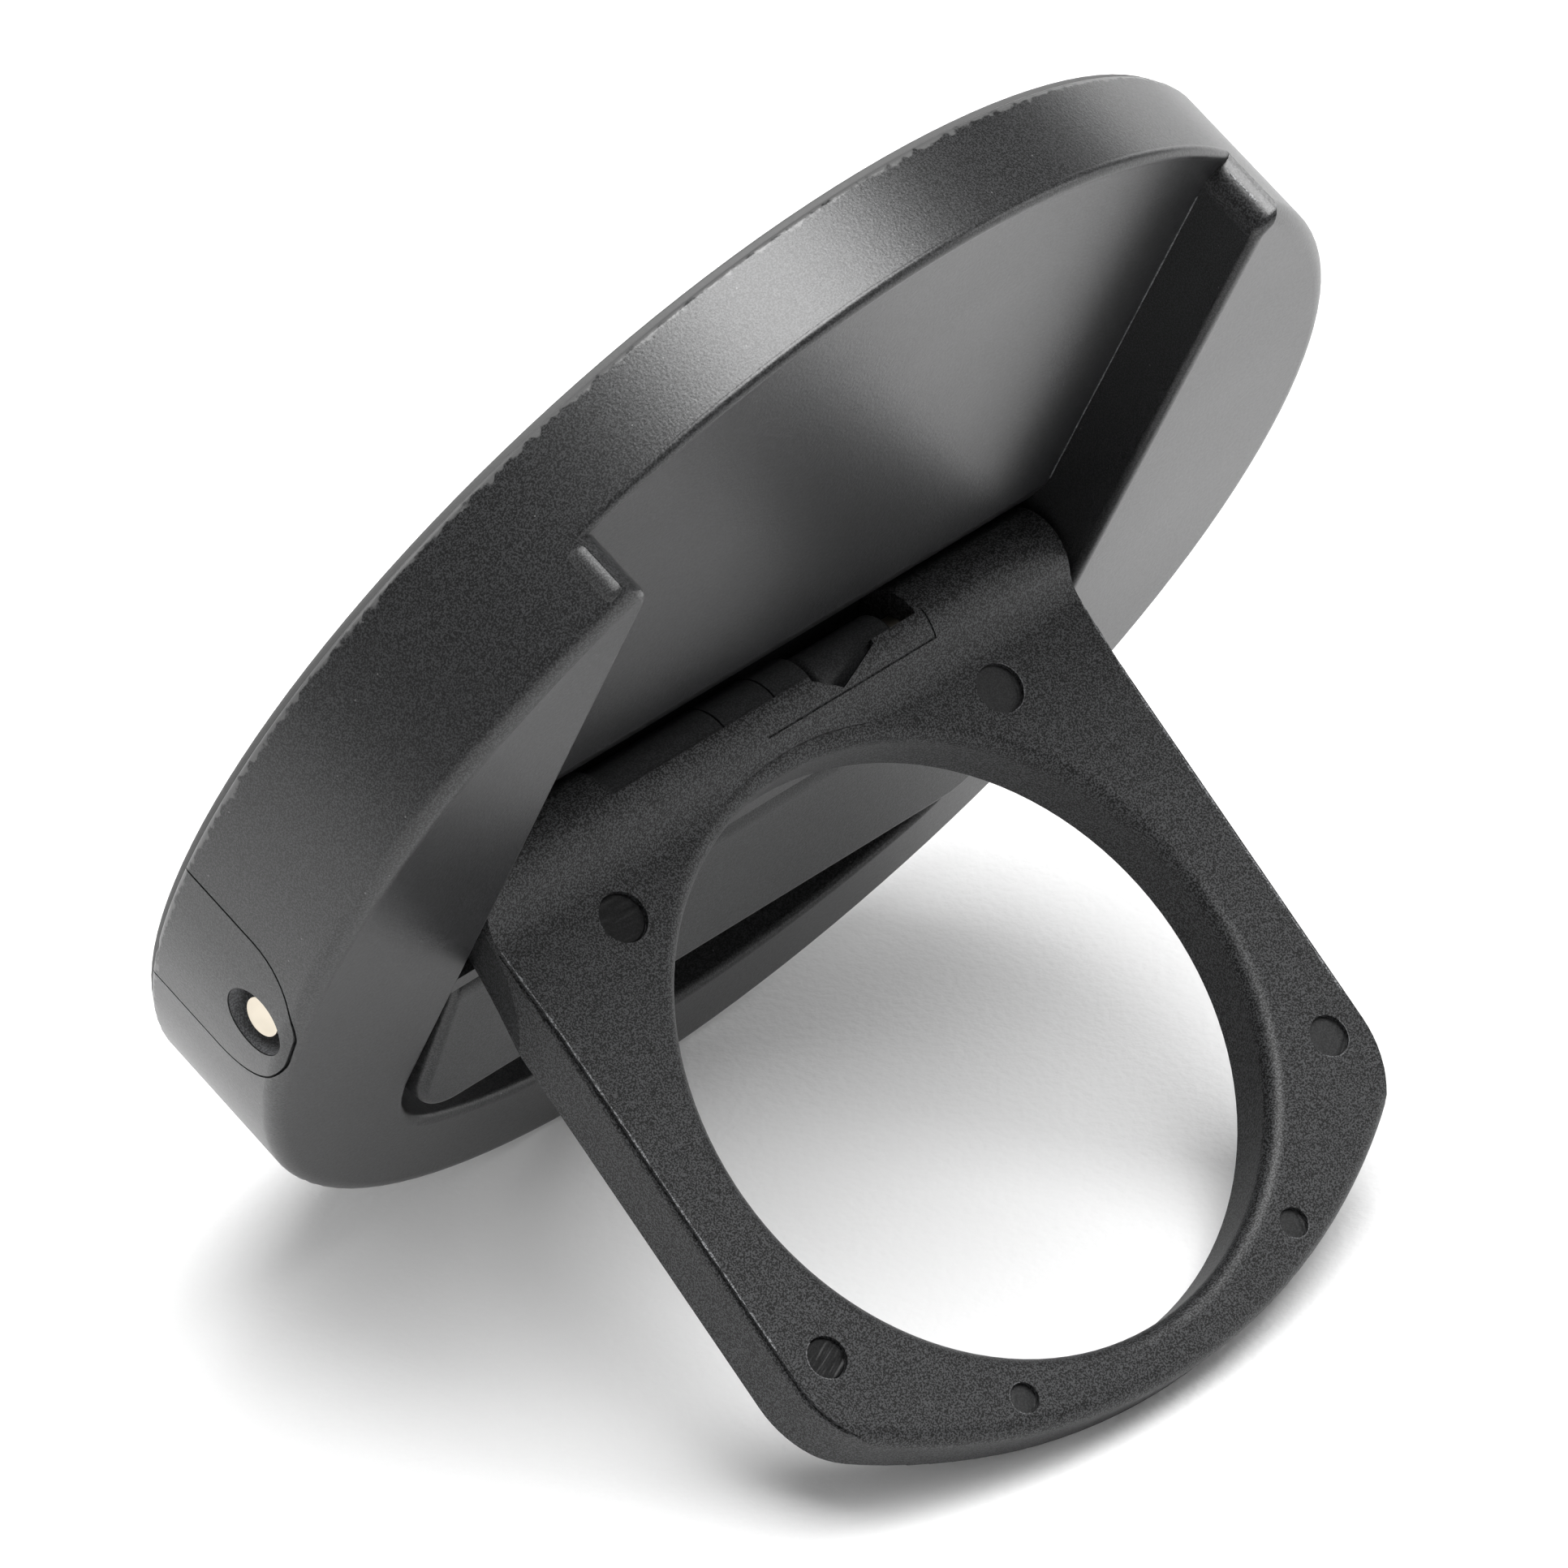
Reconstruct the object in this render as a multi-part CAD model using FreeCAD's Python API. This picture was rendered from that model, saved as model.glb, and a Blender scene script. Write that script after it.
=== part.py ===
import FreeCAD, Part
import math
import os

# A round magnetic phone mount that stands like an easel: a disc with a magnet ring behind its front
# face, a stand flap on a steel pin across its back, and a shorter lid flap on its own trunnions.
# Sizes are in millimetres and degrees.

# Disc
disc_radius = 29.0
disc_thickness = 8.3
back_edge_radius = 0.8
front_edge_radius = 0.25
floor_edge_radius = 0.35

# Channel and pocket in the back
channel_width = 35.6
channel_depth = 3.3
wall_top_radius = 0.4
ear_end_radius = 1.3
ear_end_bite = 0.75
ear_end_turn = 80.0
pocket_rim_width = 5.7
pocket_curve_radius = 30.0
pocket_corner_radius = 7.0
side_clearance = 0.4
floor_clearance = 0.25

# Magnet stack, counted from the front face
sheet_thickness = 0.35
cover_thickness = 0.8
magnet_thickness = 2.0
magnet_count = 16
magnet_spacing_deg = 1.4
magnet_rim_width = 2.2
magnet_ring_width = 4.2
shunt_thickness = 0.5
stack_clearance = 0.05

# Hinge of the stand flap
hinge_offset = 3.85
pin_radius = 0.9
pin_fit = 0.02
running_clearance = 0.05
pin_hole_radius = 1.6
pin_hole_depth = 1.7
pin_end_depth = 0.5
pin_right_length = 6.0
slide_half_width = 4.1
slide_shoulder = 4.7
slide_corner_radius = 3.4
mould_line_width = 0.1
mould_line_depth = 0.08
barrel_radius = 2.15
barrel_clearance = 0.3
barrel_blend_radius = 2.0
slope_length = 3.4
slope_depth = 0.45

# Window in the barrel and the friction sleeves that sit in it, placed along the pin
window_left = -9.2
window_edge = 0.2
sleeve_radius = 1.8
sleeve_fit = 0.03
sleeve_gap = 0.1
long_sleeve_length = 6.75
mid_sleeve_length = 2.9
short_sleeve_length = 2.0
clip_radius = 1.5
clip_gap = 0.4
clip_length = 4.9
clip_end_room = 0.9
clip_end_radius = 0.35
notch_lead = 0.7
notch_tip_offset = 1.4
notch_length = 3.8
notch_depth = 0.95
barrel_line_length = 10.1
barrel_line_margin = 0.4
barrel_line_offset = 1.05

# Stand flap, distances along it counted from the pin
stand_angle = 104.2
stop_clearance = 0.08
tip_setback = 0.1
stand_corner_radius = 5.0
tip_inner_radius = 0.7
tip_outer_radius = 0.4
hole_heel = 2.65
hole_tip_band = 2.4
hole_edge_radius = 0.75
step_width = 0.22
step_depth = 0.22
step_run_in = 5.0
relief_radius = 6.0
relief_distance = 1.5
relief_height = 5.3
relief_depth = 0.6
relief_slope_deg = 12.0
mark_depth = 0.25
heel_mark_x = 11.3
heel_mark_from_pin = 4.28
heel_mark_radius = 1.15
corner_mark_x = 15.25
corner_mark_from_tip = 8.57
corner_mark_radius = 0.95
tip_mark_x = 8.22
tip_mark_from_tip = 2.75
tip_mark_radius = 0.7

# Lid flap and the stop rib between it and the stand flap
lid_axis_offset = 4.95
lid_root_radius = 1.3
lid_root_clearance = 0.3
lid_thickness = 2.0
lid_nail_gap = 6.3
lid_corner_radius = 2.6
lid_edge_radius = 0.45
lid_angle = 5.5
trunnion_radius = 0.8
trunnion_length = 1.1
trunnion_end_gap = 0.1
rib_drop = 0.15

# Derived places in the flat frame: x along the pin, y towards the open end, z from front to back
half_channel = channel_width / 2
pocket_reach = disc_radius - pocket_rim_width
magnet_outer_radius = disc_radius - magnet_rim_width
magnet_inner_radius = magnet_outer_radius - magnet_ring_width
floor_z = disc_thickness - channel_depth
axis_y = -hinge_offset
axis_z = disc_thickness - barrel_radius
leaf_half_width = half_channel - side_clearance
leaf_bottom_z = floor_z + floor_clearance
leaf_depth = axis_z - leaf_bottom_z
tip_radius = disc_radius - tip_setback
stand_length = tip_radius + hinge_offset
hole_radius = (stand_length - hole_tip_band - hole_heel) / 2
hole_distance = hole_heel + hole_radius
groove_radius = barrel_radius + barrel_clearance
window_bore_radius = sleeve_radius + sleeve_fit
long_sleeve_left = window_left + sleeve_gap
mid_sleeve_left = long_sleeve_left + long_sleeve_length + sleeve_gap
short_sleeve_left = mid_sleeve_left + mid_sleeve_length + sleeve_gap
clip_left = short_sleeve_left + short_sleeve_length + clip_gap
window_right = clip_left + clip_length + clip_end_room
notch_left = clip_left - notch_lead
barrel_line_right = window_right + barrel_line_margin
lid_axis_y = axis_y - lid_axis_offset
lid_axis_z = disc_thickness - lid_root_radius
lid_length = pocket_reach + lid_axis_y - lid_nail_gap
rib_top_z = disc_thickness - rib_drop
magnet_z = sheet_thickness + cover_thickness + stack_clearance
shunt_z = magnet_z + magnet_thickness + stack_clearance
stack_top_z = shunt_z + shunt_thickness + stack_clearance
cover_radius = magnet_outer_radius + stack_clearance
rim_at_pin = math.sqrt(disc_radius ** 2 - axis_y ** 2)
overcut = 3.0
tolerance = 1e-6

X_AXIS = FreeCAD.Vector(1, 0, 0)
Z_AXIS = FreeCAD.Vector(0, 0, 1)
ORIGIN = FreeCAD.Vector(0, 0, 0)
PIN_POINT = FreeCAD.Vector(0, axis_y, axis_z)
LID_POINT = FreeCAD.Vector(0, lid_axis_y, lid_axis_z)


def vec(x, y, z=0.0):
    return FreeCAD.Vector(x, y, z)


def line(start, end):
    return Part.LineSegment(start, end).toShape()


def arc(start, middle, end):
    return Part.Arc(start, middle, end).toShape()


def round_corner(start, centre, end, radius):
    """The arc from start to end about a centre, through the point halfway between them."""
    bend = (start + end) * 0.5 - centre
    return arc(start, centre + bend * (radius / bend.Length), end)


def polygon(points):
    return Part.Face(Part.makePolygon(points + points[:1]))


def prism(edges, low_z, high_z):
    """Extrude a closed plan outline, drawn at z = 0, between two heights."""
    face = Part.Face(Part.Wire(edges))
    face.translate(vec(0, 0, low_z))
    return face.extrude(vec(0, 0, high_z - low_z))


def disc(radius, low_z, high_z):
    return Part.makeCylinder(radius, high_z - low_z, vec(0, 0, low_z), Z_AXIS)


def bar(point, radius, left_x, right_x):
    """A round bar along x through a point."""
    return Part.makeCylinder(radius, right_x - left_x, vec(left_x, point.y, point.z), X_AXIS)


def rounded_bar(point, radius, left_x, right_x, edge_radius):
    """A round bar along x whose two end edges are rounded."""
    plain = bar(point, radius, left_x, right_x)
    rims = [edge for edge in plain.Edges if edge.BoundBox.XLength < tolerance]
    return plain.makeFillet(edge_radius, rims)


def block(x_range, y_range, z_range):
    size = [high - low for low, high in (x_range, y_range, z_range)]
    return Part.makeBox(*size, vec(x_range[0], y_range[0], z_range[0]))


def hinge_block(x_range, along, above):
    """A block placed from the pin's axis: along points to the open end, above points to the back."""
    y_range = [axis_y + value for value in along]
    z_range = [axis_z + value for value in above]
    return block(x_range, y_range, z_range)


def turned(shape, point, angle):
    """A copy of a shape, turned about a line along x through a point."""
    copy = shape.copy()
    copy.rotate(point, X_AXIS, angle)
    return copy


def on_circle(radius, point):
    """The point at a radius from the disc's centre, in the direction of another point."""
    return point * (radius / point.Length)


def mirror_x(point):
    return vec(-point.x, point.y, point.z)


def flat_edges(shape, height):
    """Edges of a shape that lie level at a height."""
    found = []
    for edge in shape.Edges:
        box = edge.BoundBox
        if abs(box.ZMin - height) < tolerance and abs(box.ZMax - height) < tolerance:
            found.append(edge)
    return found


def channel_outline():
    """Plan of the channel and pocket. Its open end turns outwards round the ears and runs past the rim."""
    ear_x = half_channel + ear_end_radius
    ear_reach = disc_radius - ear_end_bite * ear_end_radius
    ear = vec(ear_x, math.sqrt(ear_reach ** 2 - ear_x ** 2))
    ear_wall = vec(half_channel, ear.y)
    turn = math.radians(ear_end_turn)
    ear_turn = ear + vec(-math.cos(turn), math.sin(turn)) * ear_end_radius
    outside = ear_turn + vec(math.sin(turn), math.cos(turn)) * disc_radius
    far = vec(outside.x, 2 * disc_radius)
    corner_x = half_channel - pocket_corner_radius
    corner_reach = pocket_curve_radius - pocket_corner_radius
    end_centre = vec(0, pocket_curve_radius - pocket_reach)
    corner = end_centre + vec(corner_x, -math.sqrt(corner_reach ** 2 - corner_x ** 2))
    corner_wall = vec(half_channel, corner.y)
    corner_end = end_centre + on_circle(pocket_curve_radius, corner - end_centre)
    return [
        line(far, outside),
        line(outside, ear_turn),
        round_corner(ear_turn, ear, ear_wall, ear_end_radius),
        line(ear_wall, corner_wall),
        round_corner(corner_wall, corner, corner_end, pocket_corner_radius),
        arc(corner_end, vec(0, -pocket_reach), mirror_x(corner_end)),
        round_corner(mirror_x(corner_end), mirror_x(corner), mirror_x(corner_wall), pocket_corner_radius),
        line(mirror_x(corner_wall), mirror_x(ear_wall)),
        round_corner(mirror_x(ear_wall), mirror_x(ear), mirror_x(ear_turn), ear_end_radius),
        line(mirror_x(ear_turn), mirror_x(outside)),
        line(mirror_x(outside), mirror_x(far)),
        line(mirror_x(far), far),
    ]


def housing_base():
    """The solid lower part of the housing, up to the channel's floor."""
    base = disc(disc_radius, sheet_thickness, floor_z)
    base = base.makeFillet(floor_edge_radius, flat_edges(base, floor_z))
    return base.makeFillet(front_edge_radius, flat_edges(base, sheet_thickness))


def housing_wall():
    """The raised wall round the channel and pocket. Its inner top edges are rounded on a wider slab,
    which the disc with its rounder rim edge then trims."""
    wall_z = floor_z - 2 * floor_edge_radius
    reach = 1.5 * disc_radius
    slab = block((-reach, reach), (-reach, reach), (wall_z, disc_thickness))
    slab = slab.cut(prism(channel_outline(), wall_z, disc_thickness))
    inner = []
    for edge in flat_edges(slab, disc_thickness):
        middle = edge.valueAt((edge.FirstParameter + edge.LastParameter) / 2)
        if max(abs(middle.x), abs(middle.y)) < reach - tolerance:
            inner.append(edge)
    slab = slab.makeFillet(wall_top_radius, inner)
    body = disc(disc_radius, wall_z, disc_thickness)
    body = body.makeFillet(back_edge_radius, flat_edges(body, disc_thickness))
    return body.common(slab)


def stop_rib():
    """The wall between the two leaves. One face stops the stand flap when that is folded out; the other
    is hollowed round the lid flap's root and reaches over it."""
    span = (-half_channel, half_channel)
    rib = block(span, (lid_axis_y, axis_y), (floor_z, rib_top_z))
    sweep = hinge_block(span, (0, disc_radius), (-disc_radius, barrel_radius + stop_clearance))
    hollow = trunnion(lid_root_radius + lid_root_clearance, half_channel)
    return rib.cut([turned(sweep, PIN_POINT, stand_angle), hollow])


def barrel_groove():
    """The round groove under the barrel, and the slope that leads down to it from the channel's floor."""
    groove = bar(PIN_POINT, groove_radius, -half_channel, half_channel)
    slope = polygon([
        vec(-half_channel, axis_y + slope_length, floor_z),
        vec(-half_channel, axis_y, floor_z),
        vec(-half_channel, axis_y, floor_z - 2 * slope_depth),
    ])
    return groove.fuse(slope.extrude(vec(channel_width, 0, 0)))


def trunnion(radius, end_x):
    return bar(LID_POINT, radius, -end_x, end_x)


def stack_cavity():
    """The ring-shaped magnet pocket and the flat seat of the front cover, open to the front."""
    seat = disc(cover_radius + stack_clearance, sheet_thickness, magnet_z - stack_clearance)
    ring = disc(magnet_outer_radius + stack_clearance, sheet_thickness, stack_top_z)
    hub = disc(magnet_inner_radius - stack_clearance, sheet_thickness, stack_top_z)
    return seat.fuse(ring.cut(hub))


def slide_tongue(margin):
    """The tongue round the pin hole, seen along the pin, with a margin all round."""
    half_width = slide_half_width + margin
    radius = slide_corner_radius + margin
    flat = half_width - radius
    left_x = -1.5 * disc_radius
    front = vec(left_x, axis_y + half_width, -overcut)
    shoulder = vec(left_x, axis_y + half_width, slide_shoulder)
    centre = vec(left_x, axis_y + flat, slide_shoulder)
    top = centre + vec(0, 0, radius)
    across = vec(0, -2 * half_width, 0)
    inward = vec(0, -2 * flat, 0)
    face = Part.Face(Part.Wire([
        line(front, shoulder),
        round_corner(shoulder, centre, top, radius),
        line(top, top + inward),
        round_corner(top + inward, centre + inward, shoulder + across, radius),
        line(shoulder + across, front + across),
        line(front + across, front),
    ]))
    return face.extrude(vec(disc_radius, 0, 0))


def slide_line():
    """The fine line that the mould's side slide leaves on the rim, from the front edge round the pin hole."""
    core_z = disc_thickness - mould_line_depth
    core = disc(disc_radius - mould_line_depth, -2 * overcut, core_z)
    core = core.makeFillet(back_edge_radius, flat_edges(core, core_z))
    return slide_tongue(mould_line_width).cut([slide_tongue(0), core])


def make_back_housing():
    housing = housing_base().fuse([housing_wall(), stop_rib()])
    housing = housing.cut(barrel_groove())
    pin_end = half_channel + pin_right_length
    housing = housing.cut(bar(PIN_POINT, pin_radius + pin_fit, -disc_radius, pin_end))
    housing = housing.cut(bar(PIN_POINT, pin_hole_radius, -disc_radius, pin_hole_depth - rim_at_pin))
    dimple_end = leaf_half_width + trunnion_length + trunnion_end_gap
    dimples = trunnion(trunnion_radius + running_clearance, dimple_end)
    dimples = dimples.cut(trunnion(2 * trunnion_radius, half_channel))
    housing = housing.cut([dimples, slide_line()])
    return housing.cut(stack_cavity()).removeSplitter()


def make_grip_sheet():
    sheet = disc(disc_radius - front_edge_radius, 0, sheet_thickness)
    return sheet.makeFillet(sheet_thickness / 2, flat_edges(sheet, 0))


def make_front_cover():
    return disc(cover_radius, sheet_thickness, sheet_thickness + cover_thickness)


def make_shunt_ring():
    ring = disc(magnet_outer_radius, shunt_z, shunt_z + shunt_thickness)
    return ring.cut(disc(magnet_inner_radius, shunt_z, shunt_z + shunt_thickness))


def make_magnet(index):
    pitch = 360 / magnet_count
    section = polygon([
        vec(magnet_inner_radius, 0, magnet_z),
        vec(magnet_outer_radius, 0, magnet_z),
        vec(magnet_outer_radius, 0, magnet_z + magnet_thickness),
        vec(magnet_inner_radius, 0, magnet_z + magnet_thickness),
    ])
    magnet = section.revolve(ORIGIN, Z_AXIS, pitch - magnet_spacing_deg)
    magnet.rotate(ORIGIN, Z_AXIS, index * pitch)
    return magnet


def make_hinge_pin():
    pin_end = half_channel + pin_right_length - stack_clearance
    return bar(PIN_POINT, pin_radius, pin_end_depth - rim_at_pin, pin_end)


def make_sleeve(left_x, length):
    sleeve = bar(PIN_POINT, sleeve_radius, left_x, left_x + length)
    return sleeve.cut(bar(PIN_POINT, pin_radius + running_clearance, left_x, left_x + length))


def make_clip():
    clip = rounded_bar(PIN_POINT, clip_radius, clip_left, clip_left + clip_length, clip_end_radius)
    return clip.cut(bar(PIN_POINT, pin_radius + running_clearance, clip_left, clip_left + clip_length))


def leaf_sides(half_width, start_y, corner, end, corner_radius, tip):
    """Plan of a leaf: straight sides from its hinge end, rounded corners and a given free end."""
    side = vec(half_width, corner.y)
    start = vec(half_width, start_y)
    return [
        line(start, side),
        round_corner(side, corner, end, corner_radius),
        tip,
        round_corner(mirror_x(end), mirror_x(corner), mirror_x(side), corner_radius),
        line(mirror_x(side), mirror_x(start)),
        line(mirror_x(start), start),
    ]


def stand_plan(half_width):
    """Plan of the stand flap; its tip follows the disc's rim. Also gives where its corner meets the tip."""
    corner_x = half_width - stand_corner_radius
    reach = tip_radius - stand_corner_radius
    corner = vec(corner_x, math.sqrt(reach ** 2 - corner_x ** 2))
    end = on_circle(tip_radius, corner)
    tip = arc(end, vec(0, tip_radius), mirror_x(end))
    return leaf_sides(half_width, axis_y, corner, end, stand_corner_radius, tip), end


def tip_rounding(radius, edge_z, inward):
    """What the rounding of one edge of the tip takes away. It runs out round the corners by itself."""
    centre_z = edge_z + inward * radius
    low_z, high_z = sorted((edge_z - inward * overcut, centre_z))
    ring = disc(tip_radius + overcut, low_z, high_z).cut(disc(tip_radius - radius, low_z, high_z))
    tube = Part.makeTorus(tip_radius - radius, radius)
    tube.translate(vec(0, 0, centre_z))
    return ring.cut(tube)


def stand_plate():
    """The flat of the stand flap, with the step along its sides and the rounded tip."""
    plate = prism(stand_plan(leaf_half_width)[0], leaf_bottom_z, disc_thickness)
    plate = plate.cut(tip_rounding(tip_inner_radius, leaf_bottom_z, 1))
    plate = plate.cut(tip_rounding(tip_outer_radius, disc_thickness, -1))
    step = side_step()
    return plate.cut([step, step.mirror(ORIGIN, X_AXIS)])


def side_step():
    """The fine step along one side of the inner face: it grows from the barrel and dies out at the tip."""
    inset, end = stand_plan(leaf_half_width - step_width)
    start = vec(leaf_half_width, axis_y + barrel_radius)
    full = vec(leaf_half_width - step_width, start.y + step_run_in)
    zone = polygon([
        start,
        start + vec(overcut, 0),
        vec(start.x + overcut, end.y),
        end,
        vec(end.x, full.y),
        full,
    ])
    low_z = leaf_bottom_z - overcut
    zone.translate(vec(0, 0, low_z))
    zone = zone.extrude(vec(0, 0, overcut + step_depth))
    return zone.cut(prism(inset, low_z - overcut, disc_thickness))


def barrel():
    """The barrel along the hinge end of the stand flap, with the hollow that leads to its inner face."""
    reach = barrel_radius + barrel_blend_radius
    drop = leaf_depth + barrel_blend_radius
    centre = vec(0, math.sqrt(reach ** 2 - drop ** 2), -drop)
    meet = centre * (barrel_radius / reach)
    foot = centre + vec(0, 0, barrel_blend_radius)
    top = vec(0, foot.y, 0)
    wedge = Part.Face(Part.Wire([
        line(ORIGIN, meet),
        round_corner(meet, centre, foot, barrel_blend_radius),
        line(foot, top),
        line(top, ORIGIN),
    ]))
    wedge.translate(PIN_POINT - vec(leaf_half_width, 0, 0))
    wedge = wedge.extrude(vec(2 * leaf_half_width, 0, 0))
    return bar(PIN_POINT, barrel_radius, -leaf_half_width, leaf_half_width).fuse(wedge)


def barrel_window():
    """The long window in the back of the barrel and the pointed notch at its right, for the sleeves."""
    span = (window_left, window_right)
    reach = barrel_radius + overcut
    window = hinge_block(span, (-reach, -window_edge), (-reach, reach))
    bore = bar(PIN_POINT, window_bore_radius, *span)
    notch = polygon([
        vec(notch_left, -reach, -reach),
        vec(notch_left, 0, -reach),
        vec(notch_left + notch_tip_offset, notch_depth, -reach),
        vec(notch_left + notch_length, 0, -reach),
        vec(notch_left + notch_length, -reach, -reach),
    ])
    notch.translate(PIN_POINT)
    return window.fuse([bore, notch.extrude(vec(0, 0, reach))])


def barrel_line():
    """The fine line that a mould insert leaves on the barrel, along the window and round its right end."""
    along = (barrel_line_offset, barrel_line_offset + mould_line_width)
    below = (-2 * barrel_radius, 0)
    span = (barrel_line_right - barrel_line_length, barrel_line_right)
    end_span = (barrel_line_right - mould_line_width, barrel_line_right)
    marks = hinge_block(span, along, below).fuse(hinge_block(end_span, (-window_edge, along[1]), below))
    return marks.cut(bar(PIN_POINT, barrel_radius - mould_line_depth, *span))


def finger_hole():
    """The hole through the stand flap, with the rounded edge on its inner side."""
    hole = disc(hole_radius, leaf_bottom_z, disc_thickness + overcut)
    ring = disc(hole_radius + hole_edge_radius, leaf_bottom_z - overcut, leaf_bottom_z + hole_edge_radius)
    tube = Part.makeTorus(hole_radius + hole_edge_radius, hole_edge_radius)
    tube.translate(vec(0, 0, leaf_bottom_z + hole_edge_radius))
    tool = hole.fuse(ring.cut(tube))
    tool.translate(vec(0, axis_y + hole_distance, 0))
    return tool


def side_reliefs():
    """The dished relief in each side of the stand flap, where it passes the housing's walls."""
    base = PIN_POINT + vec(leaf_half_width - relief_depth, relief_distance, relief_height)
    base_radius = relief_radius - relief_depth / math.tan(math.radians(relief_slope_deg))
    right = Part.makeCone(base_radius, relief_radius, relief_depth, base, X_AXIS)
    return [right, right.mirror(ORIGIN, X_AXIS)]


def ejector_marks():
    """Round pin marks sunk into the inner face, in three pairs."""
    marks = []
    pairs = (
        (heel_mark_x, heel_mark_from_pin, heel_mark_radius),
        (corner_mark_x, stand_length - corner_mark_from_tip, corner_mark_radius),
        (tip_mark_x, stand_length - tip_mark_from_tip, tip_mark_radius),
    )
    for aside, along, radius in pairs:
        for x in (aside, -aside):
            base = vec(x, axis_y + along, leaf_bottom_z - mark_depth)
            marks.append(Part.makeCylinder(radius, 2 * mark_depth, base, Z_AXIS))
    return marks


def make_stand_flap():
    flap = stand_plate().fuse(barrel())
    flap = flap.cut([finger_hole()] + side_reliefs() + ejector_marks())
    flap = flap.cut([barrel_window(), barrel_line()])
    flap = flap.cut(bar(PIN_POINT, pin_radius + running_clearance, -leaf_half_width, leaf_half_width))
    return flap.removeSplitter()


def make_lid_flap():
    """The short leaf with a straight free edge; its root is round about its own trunnions."""
    corner = vec(leaf_half_width - lid_corner_radius, lid_length - lid_corner_radius)
    end = vec(corner.x, lid_length)
    free_edge = line(end, mirror_x(end))
    outline = leaf_sides(leaf_half_width, 0, corner, end, lid_corner_radius, free_edge)
    plate = prism(outline, lid_root_radius - lid_thickness, lid_root_radius)
    edges = [edge for edge in flat_edges(plate, lid_root_radius) if edge.BoundBox.YMax > tolerance]
    plate = plate.makeFillet(lid_edge_radius, edges)
    plate.rotate(ORIGIN, Z_AXIS, 180)
    plate.translate(LID_POINT)
    root = rounded_bar(LID_POINT, lid_root_radius, -leaf_half_width, leaf_half_width, lid_edge_radius)
    pivot = trunnion(trunnion_radius, leaf_half_width + trunnion_length)
    return plate.fuse([root, pivot]).removeSplitter()


def lean_angle():
    """Turn about x that sets the disc's edge and the stand flap's tip on the floor."""
    edge = vec(0, back_edge_radius - disc_radius, disc_thickness - back_edge_radius)
    tip = vec(0, tip_radius - tip_outer_radius, disc_thickness - tip_outer_radius)
    tip = PIN_POINT + FreeCAD.Rotation(X_AXIS, stand_angle).multVec(tip - PIN_POINT)
    span = tip - edge
    along = span * (1 / span.Length)
    upright = vec(0, along.z, -along.y)
    trim = math.asin((tip_outer_radius - back_edge_radius) / span.Length)
    up = upright * math.cos(trim) + along * math.sin(trim)
    return math.degrees(math.atan2(up.y, up.z))


def make_pieces():
    stand = {
        "stand_flap": make_stand_flap(),
        "friction_sleeve_long": make_sleeve(long_sleeve_left, long_sleeve_length),
        "friction_sleeve_mid": make_sleeve(mid_sleeve_left, mid_sleeve_length),
        "friction_sleeve_short": make_sleeve(short_sleeve_left, short_sleeve_length),
        "friction_clip": make_clip(),
    }
    pieces = {
        "back_housing": make_back_housing(),
        "front_cover": make_front_cover(),
        "grip_sheet": make_grip_sheet(),
        "shunt_ring": make_shunt_ring(),
        "hinge_pin": make_hinge_pin(),
        "lid_flap": turned(make_lid_flap(), LID_POINT, -lid_angle),
    }
    for name, shape in stand.items():
        pieces[name] = turned(shape, PIN_POINT, stand_angle)
    for index in range(magnet_count):
        pieces["magnet_%02d" % (index + 1)] = make_magnet(index)
    return pieces


def stand_on_floor(pieces):
    """Lean the whole mount, then set its box's bottom centre at the origin."""
    lean = lean_angle()
    for shape in pieces.values():
        shape.rotate(ORIGIN, X_AXIS, lean)
    box = Part.makeCompound(list(pieces.values())).optimalBoundingBox(False, False)
    shift = vec(-box.Center.x, -box.Center.y, -box.ZMin)
    for shape in pieces.values():
        shape.translate(shift)
    upright = FreeCAD.Rotation(X_AXIS, lean)
    print("lean", lean, "box", box.XLength, box.YLength, box.ZLength)
    print("pin", upright.multVec(PIN_POINT) + shift, "lid axis", upright.multVec(LID_POINT) + shift)
    print("shift", shift)


def main():
    os.makedirs("parts", exist_ok=True)
    pieces = make_pieces()
    stand_on_floor(pieces)
    for name, shape in pieces.items():
        shape.exportStep("parts/%s.step" % name)
        print(name, shape.isValid(), len(shape.Solids), round(shape.Volume, 3))


main()
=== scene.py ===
# %% [markdown]
# # A magnetic phone mount on a white table
#
# The mount is a charcoal disc that stands like an easel on its own folded-out flap. The CAD model
# gives every rigid piece its true shape and place, in metres, so this lesson starts from that frame
# and spends its effort on what a camera sees: the view, the light, and the look of moulded plastic.

# %% Load the frame
import math
import bpy
from mathutils import Matrix, Vector, noise


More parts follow.
